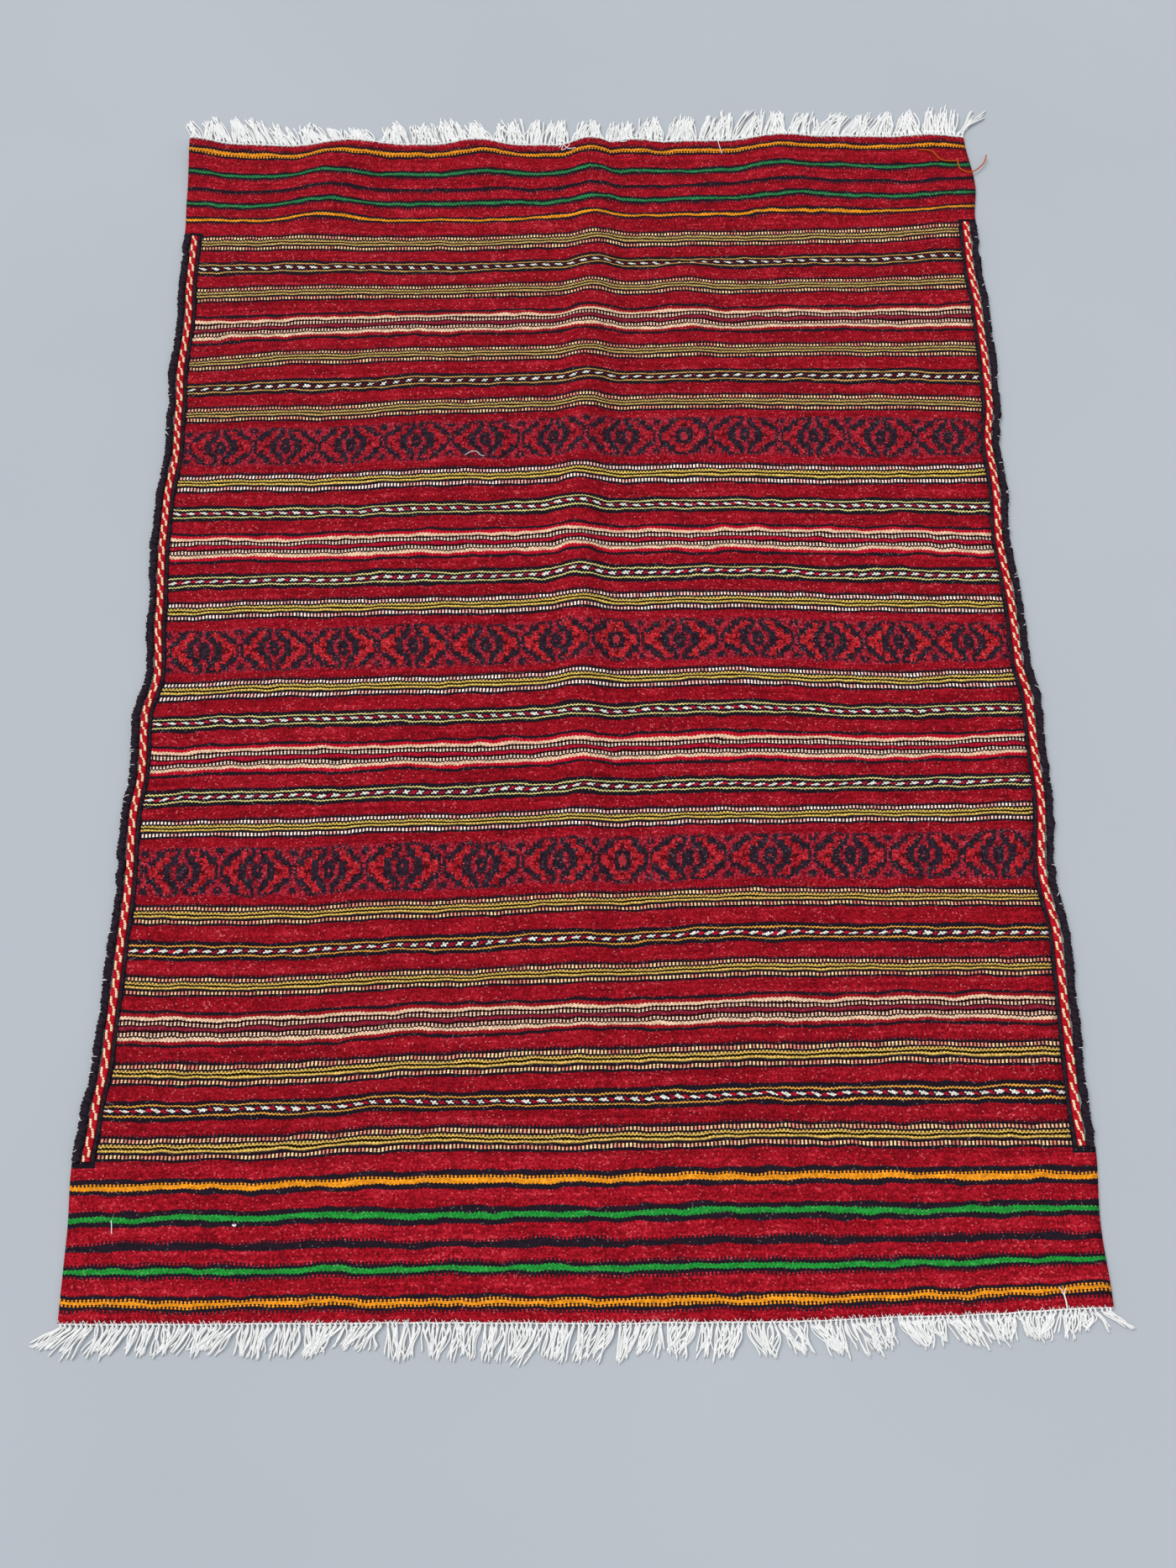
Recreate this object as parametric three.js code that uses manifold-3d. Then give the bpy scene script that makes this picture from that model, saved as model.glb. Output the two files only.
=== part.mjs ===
// A flat-woven kilim, 1.2 m wide and 1.7 m long, lying on a floor with its ripples and centre fold.
// Millimetres, +Z up. X runs across the rug, Y runs along it, and the far end is at +Y.
// The cloth is laid out in woven places: s counts across the wefts, t counts along the warps.
// The function placed() turns a woven place into where the thread really lies.
import * as THREE from "three";
import { mergeVertices } from "three/addons/utils/BufferGeometryUtils.js";
import Module from "manifold-3d";

const wasm = await Module();
wasm.setup();

// Driving dimensions of the cloth
const halfWidth = 600;
const farEnd = 852;
const nearEnd = -841;
const clothThickness = 2.6;

// The side edging fills a notch in each side of the cloth, between these two wefts
const edgingWidth = 28;
const edgingFar = 688;
const edgingNear = -655;
const gap = 0.3;

// Fineness of the cloth's grid: cells across the field, and along each stretch of the cloth
const cellsAcross = 44;
const cellsInField = 17;
const cellsInFarPanel = 3;
const cellsInNearPanel = 2;

// Outer edges of the rug as it lies: how far each side stands out or in from 600 mm
const sides = [
  { t: 852, left: 4, right: 0 },
  { t: 752, left: 2, right: 9 },
  { t: 690, left: -1, right: 3 },
  { t: 600, left: -1, right: 2 },
  { t: 540, left: -5, right: 6 },
  { t: 460, left: -2, right: 7 },
  { t: 390, left: -6, right: 6 },
  { t: 315, left: -9, right: -3 },
  { t: 240, left: -3, right: 0 },
  { t: 170, left: -4, right: -4 },
  { t: 60, left: -10, right: 2 },
  { t: -20, left: -17, right: 2 },
  { t: -80, left: -6, right: 10 },
  { t: -160, left: -10, right: 9 },
  { t: -220, left: -5, right: 10 },
  { t: -315, left: -9, right: 0 },
  { t: -400, left: -7, right: 9 },
  { t: -520, left: -5, right: 7 },
  { t: -600, left: 2, right: 6 },
  { t: -655, left: 6, right: 8 },
  { t: -740, left: 2, right: 3 },
  { t: -841, left: 1, right: 6 },
];

// The wefts lie slanted and a little wavy: how far each one is pushed along Y at seven places across
const leanStations = [-600, -400, -200, 0, 200, 400, 600];
const leans = [
  { t: 852, push: [-9, -14, -9, -10, 0, 10, 8] },
  { t: 672, push: [-13, -11, -12, -4, 0, 5, 18] },
  { t: 469, push: [-27, -13, -6, -2, 0, 3, 4] },
  { t: 384, push: [-26, -21, -9, -4, 0, -1, -6] },
  { t: 265, push: [-19, -17, -8, -3, 0, -4, -1] },
  { t: 171, push: [-15, -13, -6, -1, 0, -2, -7] },
  { t: 66, push: [-20, -13, -9, -3, 0, -6, -8] },
  { t: -45, push: [-25, -17, -13, -6, 0, -8, -3] },
  { t: -239, push: [-19, -15, -10, -4, 0, 1, 5] },
  { t: -346, push: [-21, -22, -14, -7, 0, -1, -2] },
  { t: -544, push: [-19, -20, -10, -5, 0, 3, 2] },
  { t: -636, push: [-14, -12, -3, -4, 0, -2, -2] },
  { t: -720, push: [-7, -5, -3, -2, 0, -1, 0] },
  { t: -841, push: [3, 2, 2, 0, 0, 5, 12] },
];

// The lengthwise fold that the rug was stored with, from the far end to the near one
const foldHalfWidth = 52;
const fold = [
  { t: 860, s: 16, height: 16 },
  { t: 670, s: 20, height: 12 },
  { t: 460, s: 2, height: 13 },
  { t: 170, s: -8, height: 16 },
  { t: 50, s: -10, height: 16 },
  { t: -240, s: -8, height: 11 },
  { t: -440, s: -2, height: 8 },
  { t: -850, s: 6, height: 3 },
];

// The other ripples, highest at the start and fading out at the end
const ripples = [
  { startS: -600, startT: 870, endS: -600, endT: 740, height: 12, halfWidth: 70 },
  { startS: -352, startT: 870, endS: -425, endT: 590, height: 13, halfWidth: 92 },
  { startS: -163, startT: 870, endS: -120, endT: 690, height: 11, halfWidth: 66 },
  { startS: 82, startT: 870, endS: 60, endT: 730, height: 9, halfWidth: 60 },
  { startS: 305, startT: 870, endS: 330, endT: 640, height: 8, halfWidth: 80 },
  { startS: 548, startT: 870, endS: 560, endT: 700, height: 6, halfWidth: 70 },
  { startS: 150, startT: 620, endS: 150, endT: 330, height: 7, halfWidth: 60 },
  { startS: -160, startT: 330, endS: -175, endT: 190, height: 6, halfWidth: 48 },
];

// Fringe: one knot every 11.6 mm, and a second lock at every third knot
const headerWidth = 3.2;
const headerHeight = 3;
const knotPitch = 11.6;
const knotsPerEnd = 103;
const secondLockEvery = 3;
const secondLockRoot = 1.9;
const secondLockTip = 1.2;

// One lock: its section, its root inside the header, and how uneven its reach and lean are
const lockWidth = 3.2;
const tipWidth = 2.4;
const lockHeight = 2.2;
const rootInHeader = 1.4;
const rootLift = 0.3;
const unevenReach = 0.1;
const unevenLean = 1.5;

// Where a lock is down on the floor and where it bends, as parts of its reach and of its lean
const touchdown = { out: 0.36, side: 0.25 };
const bend = { out: 0.65, side: 0.6 };

// How the locks lie at each end: reach out from the cloth, and lean to +X, at places across
const farLocks = [
  { s: -600, reach: 46, lean: -8 },
  { s: -500, reach: 55, lean: -22 },
  { s: -440, reach: 42, lean: -14 },
  { s: -395, reach: 42, lean: -22 },
  { s: -340, reach: 37, lean: -10 },
  { s: -250, reach: 44, lean: -7 },
  { s: -205, reach: 52, lean: -10 },
  { s: -150, reach: 44, lean: -14 },
  { s: -60, reach: 52, lean: 4 },
  { s: 60, reach: 46, lean: 2 },
  { s: 150, reach: 50, lean: 4 },
  { s: 240, reach: 54, lean: 14 },
  { s: 320, reach: 55, lean: 8 },
  { s: 390, reach: 46, lean: 24 },
  { s: 480, reach: 50, lean: 12 },
  { s: 560, reach: 58, lean: 8 },
  { s: 600, reach: 58, lean: 24 },
];
const nearLocks = [
  { s: -600, reach: 26, lean: -36 },
  { s: -560, reach: 36, lean: -20 },
  { s: -480, reach: 34, lean: -4 },
  { s: -420, reach: 33, lean: -16 },
  { s: -330, reach: 39, lean: -4 },
  { s: -260, reach: 28, lean: -22 },
  { s: -220, reach: 38, lean: -3 },
  { s: -80, reach: 40, lean: -8 },
  { s: 0, reach: 42, lean: -10 },
  { s: 100, reach: 36, lean: -9 },
  { s: 180, reach: 41, lean: 2 },
  { s: 225, reach: 34, lean: 16 },
  { s: 290, reach: 38, lean: 14 },
  { s: 350, reach: 32, lean: 12 },
  { s: 450, reach: 34, lean: 12 },
  { s: 530, reach: 31, lean: -8 },
  { s: 600, reach: 22, lean: 22 },
];

// Side cords: where each starts from the rug's outer edge, its width and its height
const cords = [
  { name: "edge_cord", inset: 0, width: 7.4, height: 6.4, color: 0x2a2029, roughness: 0.95 },
  { name: "edge_braid", inset: 7.7, width: 12.0, height: 5.2, color: 0xb5283a, roughness: 0.9 },
  { name: "edge_guard", inset: 20.0, width: 7.7, height: 4.4, color: 0x2a2029, roughness: 0.95 },
];

// Section of a side cord, in parts of its width and height: a flat foot and a narrower back
const cordSection = [
  { out: 0, up: 0.35 },
  { out: 0.12, up: 0 },
  { out: 0.88, up: 0 },
  { out: 1, up: 0.35 },
  { out: 0.75, up: 1 },
  { out: 0.25, up: 1 },
];

// Soft step from 0 to 1
function ease(x) {
  return x * x * (3 - 2 * x);
}

// Value of one column of a table at a place: rows are in falling or rising order of their key
function read(rows, key, column, at) {
  const sign = Math.sign(rows.at(-1)[key] - rows[0][key]);
  if ((at - rows[0][key]) * sign <= 0) return rows[0][column];
  for (let i = 1; i < rows.length; i += 1) {
    const a = rows[i - 1];
    const b = rows[i];
    if ((at - b[key]) * sign <= 0) {
      const part = ease((at - a[key]) / (b[key] - a[key]));
      return a[column] + (b[column] - a[column]) * part;
    }
  }
  return rows.at(-1)[column];
}

// How far a weft is pushed along Y at s, eased between the stations of one row
function pushInRow(row, s) {
  const stations = leanStations.map((station, i) => ({ s: station, push: row.push[i] }));
  return read(stations, "s", "push", s);
}

function push(s, t) {
  const rows = leans.map((row) => ({ t: row.t, push: pushInRow(row, s) }));
  return read(rows, "t", "push", t);
}

// A rounded ridge: full height on its line, nothing past its half width
function ridge(distance, halfWide) {
  if (Math.abs(distance) >= halfWide) return 0;
  return 0.5 + 0.5 * Math.cos((Math.PI * distance) / halfWide);
}

// Height of the cloth's underside over the floor
function lift(s, t) {
  let height = read(fold, "t", "height", t) * ridge(s - read(fold, "t", "s", t), foldHalfWidth);
  for (const r of ripples) {
    const part = (r.startT - t) / (r.startT - r.endT);
    if (part >= 0 && part < 1) {
      const line = r.startS + (r.endS - r.startS) * part;
      const ripple = r.height * (1 - ease(part)) * ridge(s - line, r.halfWidth);
      height = Math.max(height, ripple);
    }
  }
  return height;
}

// Where the woven place (s, t) lies, at a height over the cloth's underside
function placed(s, t, over = 0) {
  const across = (s + halfWidth) / (2 * halfWidth);
  const leftShift = -read(sides, "t", "left", t);
  const rightShift = read(sides, "t", "right", t);
  const x = s + leftShift + (rightShift - leftShift) * across;
  const y = t + push(s, t);
  return new THREE.Vector3(x, y, lift(s, t) + over);
}

// Even steps from one value to another, both included
function steps(from, to, count) {
  return Array.from({ length: count + 1 }, (_, i) => from + ((to - from) * i) / count);
}

function geometryOf(points, triangles) {
  const geometry = new THREE.BufferGeometry().setFromPoints(points);
  geometry.setIndex(triangles);
  geometry.computeVertexNormals();
  return geometry;
}

// Closed body through rings of points. Each ring runs anticlockwise as seen looking back from the next
function loft(rings) {
  const size = rings[0].length;
  const triangles = [];
  for (let r = 0; r + 1 < rings.length; r += 1) {
    for (let i = 0; i < size; i += 1) {
      const j = (i + 1) % size;
      const a = r * size + i;
      const b = r * size + j;
      triangles.push(a, b, b + size, a, b + size, a + size);
    }
  }
  const last = (rings.length - 1) * size;
  for (let i = 1; i + 1 < size; i += 1) {
    triangles.push(0, i + 1, i);
    triangles.push(last, last + i, last + i + 1);
  }
  return geometryOf(rings.flat(), triangles);
}

// The cloth is a grid of cells with an upper and a lower face. Cells where the edging sits are left out
const fieldSide = halfWidth - edgingWidth;
const columns = [-halfWidth, ...steps(-fieldSide, fieldSide, cellsAcross), halfWidth];
const rows = [
  ...steps(nearEnd, edgingNear, cellsInNearPanel),
  ...steps(edgingNear, edgingFar, cellsInField).slice(1),
  ...steps(edgingFar, farEnd, cellsInFarPanel).slice(1),
];

function isCloth(column, row) {
  const inEdging = column === 0 || column === columns.length - 2;
  const besideField = rows[row] >= edgingNear && rows[row + 1] <= edgingFar;
  return row >= 0 && row < rows.length - 1 && column >= 0 && column < columns.length - 1
    && !(inEdging && besideField);
}

function clothGeometry() {
  const points = [];
  const lower = (c, r) => 2 * (r * columns.length + c);
  const upper = (c, r) => lower(c, r) + 1;
  for (const t of rows) {
    for (const s of columns) points.push(placed(s, t), placed(s, t, clothThickness));
  }
  const triangles = [];
  const wall = (c0, r0, c1, r1) => {
    triangles.push(lower(c0, r0), lower(c1, r1), upper(c1, r1), lower(c0, r0), upper(c1, r1), upper(c0, r0));
  };
  for (let r = 0; r < rows.length - 1; r += 1) {
    for (let c = 0; c < columns.length - 1; c += 1) {
      if (isCloth(c, r)) {
        triangles.push(upper(c, r), upper(c + 1, r), upper(c + 1, r + 1));
        triangles.push(upper(c, r), upper(c + 1, r + 1), upper(c, r + 1));
        triangles.push(lower(c, r), lower(c + 1, r + 1), lower(c + 1, r));
        triangles.push(lower(c, r), lower(c, r + 1), lower(c + 1, r + 1));
        if (!isCloth(c, r - 1)) wall(c, r, c + 1, r);
        if (!isCloth(c + 1, r)) wall(c + 1, r, c + 1, r + 1);
        if (!isCloth(c, r + 1)) wall(c + 1, r + 1, c, r + 1);
        if (!isCloth(c - 1, r)) wall(c, r + 1, c, r);
      }
    }
  }
  return geometryOf(points, triangles);
}

// A side cord lies along its notch. side is -1 on the left and 1 on the right
function cordGeometry(cord, side) {
  const outer = halfWidth - cord.inset;
  const inField = rows.filter((t) => t > edgingNear && t < edgingFar);
  const along = [edgingNear + gap, ...inField, edgingFar - gap];
  const rings = along.map((t) => {
    const ring = cordSection.map((p) => placed(side * (outer - p.out * cord.width), t, p.up * cord.height));
    return side > 0 ? ring : ring.reverse();
  });
  return loft(rings);
}

function toSolid(geometry) {
  const bare = mergeVertices(geometry.deleteAttribute("normal"));
  return new wasm.Manifold(new wasm.Mesh({
    numProp: 3,
    vertProperties: new Float32Array(bare.attributes.position.array),
    triVerts: new Uint32Array(bare.index.array),
  }));
}

function fromSolid(solid) {
  const mesh = solid.getMesh();
  const geometry = new THREE.BufferGeometry();
  geometry.setAttribute("position", new THREE.BufferAttribute(new Float32Array(mesh.vertProperties), 3));
  geometry.setIndex(Array.from(mesh.triVerts));
  return geometry;
}

// The twined header: a narrow strip just off the cloth's end, on the same line
function headerGeometry(endT, outward) {
  const near = outward * gap;
  const far = outward * (gap + headerWidth);
  const rings = columns.map((s) => {
    const edge = placed(s, endT);
    const corner = (offset, up) => edge.clone().add(new THREE.Vector3(0, offset, up));
    const ring = [corner(near, 0), corner(near, headerHeight), corner(far, headerHeight), corner(far, 0)];
    return outward > 0 ? ring.reverse() : ring;
  });
  return loft(rings);
}

// One lock of yarns: three-sided, out of the header, down to the floor and out to its tip
function lockGeometry(s, endT, outward, row, tipSide, unevenness) {
  const root = placed(s, endT);
  const start = gap + headerWidth - rootInHeader;
  const reach = row.reach * (1 + unevenReach * unevenness);
  const lean = row.lean + tipSide + unevenLean * unevenness;
  const stations = [
    { out: start, side: 0, base: root.z + rootLift, width: lockWidth },
    { out: touchdown.out * reach, side: touchdown.side, base: 0, width: lockWidth },
    { out: bend.out * reach, side: bend.side, base: 0, width: lockWidth },
    { out: reach, side: 1, base: 0, width: tipWidth },
  ];
  const rings = stations.map((p) => {
    const x = root.x + p.side * lean;
    const y = root.y + outward * p.out;
    const half = p.width / 2;
    const ring = [
      new THREE.Vector3(x - half, y, p.base),
      new THREE.Vector3(x + half, y, p.base),
      new THREE.Vector3(x, y, p.base + lockHeight),
    ];
    return outward > 0 ? ring.reverse() : ring;
  });
  return loft(rings);
}

function fringeGeometry(endT, outward, lockTable) {
  const solids = [toSolid(headerGeometry(endT, outward))];
  for (let k = 0; k < knotsPerEnd; k += 1) {
    const s = (k - (knotsPerEnd - 1) / 2) * knotPitch;
    const row = {
      reach: read(lockTable, "s", "reach", s),
      lean: read(lockTable, "s", "lean", s),
    };
    const unevenness = Math.sin(k * 2.4) * Math.cos(k * 0.7);
    const isDouble = k % secondLockEvery === 0 && k > 0 && k < knotsPerEnd - 1;
    for (const side of isDouble ? [-1, 1] : [0]) {
      const rootS = s + side * secondLockRoot;
      solids.push(toSolid(lockGeometry(rootS, endT, outward, row, side * secondLockTip, unevenness)));
    }
  }
  return fromSolid(wasm.Manifold.union(solids));
}

function mesh(name, geometry, color, roughness) {
  const material = new THREE.MeshStandardMaterial({ color, roughness, metalness: 0 });
  const body = new THREE.Mesh(geometry, material);
  body.name = name;
  return body;
}

const kilim = new THREE.Group();
kilim.add(mesh("kilim_cloth", clothGeometry(), 0xa2182b, 0.9));
for (const cord of cords) {
  kilim.add(mesh(`${cord.name}_left`, cordGeometry(cord, -1), cord.color, cord.roughness));
  kilim.add(mesh(`${cord.name}_right`, cordGeometry(cord, 1), cord.color, cord.roughness));
}
kilim.add(mesh("fringe_far", fringeGeometry(farEnd, 1, farLocks), 0xf1eeea, 0.85));
kilim.add(mesh("fringe_near", fringeGeometry(nearEnd, -1, nearLocks), 0xf1eeea, 0.85));

// The origin is the middle of the footprint, on the floor
const footprint = new THREE.Box3().setFromObject(kilim);
const middle = footprint.getCenter(new THREE.Vector3());
kilim.position.set(-middle.x, -middle.y, -footprint.min.z);

export default kilim;
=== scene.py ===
import math
import bpy
import numpy as np
from mathutils import Matrix, Vector


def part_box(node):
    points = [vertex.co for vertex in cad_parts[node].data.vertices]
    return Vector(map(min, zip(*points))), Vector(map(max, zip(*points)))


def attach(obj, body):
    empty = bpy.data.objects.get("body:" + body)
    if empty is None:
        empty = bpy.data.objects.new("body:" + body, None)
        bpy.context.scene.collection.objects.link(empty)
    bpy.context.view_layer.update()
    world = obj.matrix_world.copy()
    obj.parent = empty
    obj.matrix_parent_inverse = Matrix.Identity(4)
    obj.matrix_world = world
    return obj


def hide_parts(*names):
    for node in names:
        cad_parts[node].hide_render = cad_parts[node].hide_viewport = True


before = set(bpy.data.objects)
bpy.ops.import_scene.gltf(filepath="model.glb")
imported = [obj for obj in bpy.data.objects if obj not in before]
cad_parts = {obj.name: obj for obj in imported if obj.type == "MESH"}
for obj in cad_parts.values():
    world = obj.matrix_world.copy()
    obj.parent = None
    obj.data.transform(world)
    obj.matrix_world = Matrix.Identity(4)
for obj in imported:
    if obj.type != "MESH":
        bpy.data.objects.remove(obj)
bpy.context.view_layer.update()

# The room: a plain pale studio floor under soft daylight, and a camera held at standing
# height over the rug's near end, looking down along it. Rug places are counted in millimetres
# from the middle of the woven cloth, so the cloth's own corner says where that middle is.
cloth_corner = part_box("kilim_cloth")[0]
middle_from_left = 0.606
middle_from_near = 0.841
rug_middle = np.array(cloth_corner) + np.array([middle_from_left, middle_from_near, 0])
mm = 0.001

camera_place = rug_middle + np.array([-12.4, -646.0, 1467.5]) * mm
camera_yaw = math.radians(2.239)
camera_pitch = math.radians(72.978)
camera_roll = math.radians(-2.004)
ahead = Vector((
    math.sin(camera_yaw) * math.cos(camera_pitch),
    math.cos(camera_yaw) * math.cos(camera_pitch),
    -math.sin(camera_pitch),
))
level_right = Vector((math.cos(camera_yaw), -math.sin(camera_yaw), 0))
level_down = ahead.cross(level_right)
camera_right = math.cos(camera_roll) * level_right + math.sin(camera_roll) * level_down
camera_down = -math.sin(camera_roll) * level_right + math.cos(camera_roll) * level_down
camera_data = bpy.data.cameras.new("camera")
camera_data.sensor_width = 36
camera_data.lens = 27.05
camera = bpy.data.objects.new("camera", camera_data)
bpy.context.scene.collection.objects.link(camera)
camera.matrix_world = (
    Matrix.Translation(camera_place)
    @ Matrix((camera_right, -camera_down, -ahead)).transposed().to_4x4()
)
bpy.context.scene.camera = camera
bpy.context.scene.view_settings.view_transform = "Standard"


class Thread:
    """A number or a colour on its way through a finish, with Python's signs for its sums"""

    def __init__(self, finish, socket):
        self.finish = finish
        self.socket = socket

    def sum(self, operation, *values):
        inputs = dict(enumerate(values))
        return self.finish.node("ShaderNodeMath", {"operation": operation}, inputs)

    def __add__(self, other):
        return self.sum("ADD", self, other)

    __radd__ = __add__

    def __sub__(self, other):
        return self.sum("SUBTRACT", self, other)

    def __rsub__(self, other):
        return self.sum("SUBTRACT", other, self)

    def __mul__(self, other):
        return self.sum("MULTIPLY", self, other)

    __rmul__ = __mul__

    def __truediv__(self, other):
        return self.sum("DIVIDE", self, other)

    def __rtruediv__(self, other):
        return self.sum("DIVIDE", other, self)

    def __mod__(self, other):
        return self.sum("FLOORED_MODULO", self, other)

    def __abs__(self):
        return self.sum("ABSOLUTE", self)

    def __gt__(self, other):
        return self.sum("GREATER_THAN", self, other)

    def __lt__(self, other):
        return self.sum("LESS_THAN", self, other)

    def floor(self):
        return self.sum("FLOOR", self)

    def cosine(self):
        return self.sum("COSINE", self)

    def round(self):
        return self.sum("ROUND", self)

    def most(self, other):
        return self.sum("MAXIMUM", self, other)


class Finish:
    """One material and its nodes"""

    def __init__(self, name, roughness):
        self.name = name
        self.material = bpy.data.materials.new(name)
        self.material.use_nodes = True
        self.tree = self.material.node_tree
        self.shader = self.tree.nodes["Principled BSDF"]
        self.shader.inputs["Roughness"].default_value = roughness
        self.shader.inputs["Specular IOR Level"].default_value = 0.06

    def node(self, kind, settings, inputs, output=0):
        """Any node: its settings first, then the values or links of its sockets"""
        made = self.tree.nodes.new(kind)
        for key, value in settings.items():
            if key == "stops":
                self.set_stops(made.color_ramp, value)
            else:
                setattr(made, key, value)
        for key, value in inputs.items():
            if isinstance(value, Thread):
                self.tree.links.new(value.socket, made.inputs[key])
            else:
                made.inputs[key].default_value = value
        return Thread(self, made.outputs[output])

    def set_stops(self, ramp, stops):
        while len(ramp.elements) < len(stops):
            ramp.elements.new(1.0)
        for element, (place, colour) in zip(ramp.elements, stops):
            element.position = place
            element.color = colour

    def feed(self, socket, value):
        self.tree.links.new(value.socket, self.shader.inputs[socket])

    def place(self, map_name):
        """The two numbers that a named map of the mesh gives each place"""
        found = self.node("ShaderNodeUVMap", {"uv_map": map_name}, {})
        first = self.node("ShaderNodeSeparateXYZ", {}, {0: found})
        return first, Thread(self, first.socket.node.outputs[1])

    def point(self, x, y, z=0.0):
        return self.node("ShaderNodeCombineXYZ", {}, {0: x, 1: y, 2: z})

    def noise(self, x, y, z=0.0, detail=2.0):
        inputs = {"Vector": self.point(x, y, z), "Scale": 1.0, "Detail": detail}
        return self.node("ShaderNodeTexNoise", {}, inputs)

    def mix(self, part, first, second):
        return self.node("ShaderNodeMix", {"data_type": "RGBA"}, {0: part, 6: first, 7: second}, 2)

    def brighten(self, colour, times):
        inputs = {0: colour, "Scale": times}
        return self.node("ShaderNodeVectorMath", {"operation": "SCALE"}, inputs)

    def ramp(self, value, stops, stepped=False):
        """Colours along a value from 0 to 1, blended or in sharp steps"""
        made = self.node("ShaderNodeValToRGB", {"stops": stops}, {0: value})
        if stepped:
            made.socket.node.color_ramp.interpolation = "CONSTANT"
        return made

    def step(self, value, low, high):
        """Soft step from 0 at low to 1 at high"""
        settings = {"interpolation_type": "SMOOTHSTEP"}
        return self.node("ShaderNodeMapRange", settings, {0: value, 1: low, 2: high})

    def surface(self, colour, roughness, bumps, depth):
        """Gives the material its colour, roughness and bumps, and returns it"""
        self.feed("Base Color", colour)
        self.feed("Roughness", roughness)
        self.feed("Normal", self.node("ShaderNodeBump", {}, {"Height": bumps, "Distance": depth}))
        return self.material


def dyed(red, green, blue):
    """A colour given as a screen shows it, 0 to 255, as the renderer counts it"""
    parts = [channel / 255 for channel in (red, green, blue)]
    parts = [c / 12.92 if c <= 0.04045 else ((c + 0.055) / 1.055) ** 2.4 for c in parts]
    return (*parts, 1.0)


floor_finish = Finish("studio_floor", 0.85)
ground = floor_finish.node("ShaderNodeTexCoord", {}, {}, 3)
cloudy = floor_finish.node("ShaderNodeTexNoise", {}, {"Vector": ground, "Scale": 1.3, "Detail": 3.0})
floor_finish.feed("Base Color", floor_finish.mix(cloudy, dyed(178, 183, 190), dyed(190, 195, 201)))
floor_finish.feed("Roughness", cloudy * 0.2 + 0.75)
bpy.ops.object.select_all(action="DESELECT")
bpy.ops.mesh.primitive_plane_add(size=9, location=(0, 0.6, -0.0004))
floor = bpy.context.object
floor.name = "studio_floor"
floor.data.materials.append(floor_finish.material)

world = bpy.data.worlds.new("daylight")
bpy.context.scene.world = world
world.use_nodes = True
world.node_tree.nodes["Background"].inputs["Color"].default_value = (0.93, 0.96, 1.0, 1.0)
world.node_tree.nodes["Background"].inputs["Strength"].default_value = 0.68
sky_light = bpy.data.lights.new("sky_light", "SUN")
sky_light.energy = 1.7
sky_light.angle = math.radians(38)
sky_light.color = (1.0, 0.985, 0.96)
sky = bpy.data.objects.new("sky_light", sky_light)
sky.rotation_euler = (math.radians(-24), math.radians(-34), 0)
bpy.context.scene.collection.objects.link(sky)

# The woven cloth: wool wefts beaten down over white cotton warps, in red with patterned bands,
# and striped panels at both ends. It lies on the floor with a lengthwise fold, ripples at the
# far end and wefts that run a little slanted. It is one sheet, 2.6 mm thick.
half_width = 600
far_end = 852
near_end = -841
cloth_thickness = 2.6
edging_width = 26.4
edging_far = 681
edging_near = -649
field_side = half_width - edging_width

sides = np.array([
    # t, left, right: how far each side stands out from 600 mm
    (-841, 1, 6), (-740, 2, 3), (-655, 6, 8), (-600, 2, 6), (-520, -5, 7), (-400, -7, 9),
    (-315, -9, 0), (-220, -5, 10), (-160, -10, 9), (-80, -6, 10), (-20, -17, 2), (60, -10, 2),
    (170, -4, -4), (240, -3, 0), (315, -9, -3), (390, -6, 6), (460, -2, 7), (540, -5, 6),
    (600, -1, 2), (690, -1, 3), (752, 2, 9), (852, 4, 0),
], float)
lean_stations = np.array([-600, -400, -200, 0, 200, 400, 600], float)
leans = {
    # t: how far the weft there is pushed along the rug at the seven stations
    -841: (3, 2, 2, 0, 0, 5, 12),
    -720: (-7, -5, -3, -2, 0, -1, 0),
    -636: (-14, -12, -3, -4, 0, -2, -2),
    -544: (-19, -20, -10, -5, 0, 3, 2),
    -346: (-21, -22, -14, -7, 0, -1, -2),
    -239: (-19, -15, -10, -4, 0, 1, 5),
    -45: (-25, -17, -13, -6, 0, -8, -3),
    66: (-20, -13, -9, -3, 0, -6, -8),
    171: (-15, -13, -6, -1, 0, -2, -7),
    265: (-19, -17, -8, -3, 0, -4, -1),
    384: (-26, -21, -9, -4, 0, -1, -6),
    469: (-27, -13, -6, -2, 0, 3, 4),
    672: (-13, -11, -12, -4, 0, 5, 18),
    852: (-9, -14, -9, -10, 0, 10, 8),
}
lean_rows = np.array(list(leans), float)
lean_table = np.array(list(leans.values()), float)
fold_half_width = 52
fold = np.array([
    # t, s, height of the lengthwise fold
    (-850, 6, 3), (-440, -2, 8), (-240, -8, 11), (50, -10, 16),
    (170, -8, 16), (460, 2, 13), (670, 20, 12), (860, 16, 16),
], float)
ripples = [
    # start s, start t, end s, end t, height at the start, half width
    (-600, 870, -600, 740, 12, 70), (-352, 870, -425, 590, 13, 92), (-163, 870, -120, 690, 11, 66),
    (82, 870, 60, 730, 9, 60), (305, 870, 330, 640, 8, 80), (548, 870, 560, 700, 6, 70),
    (150, 620, 150, 330, 7, 60), (-160, 330, -175, 190, 6, 48),
]


def ease(x):
    return x * x * (3 - 2 * x)


def between(stations, at):
    """Which two rows of a table a place lies between, and the eased part of the way"""
    at = np.clip(at, stations[0], stations[-1])
    row = np.clip(np.searchsorted(stations, at, side="right") - 1, 0, len(stations) - 2)
    return row, ease((at - stations[row]) / (stations[row + 1] - stations[row]))


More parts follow.
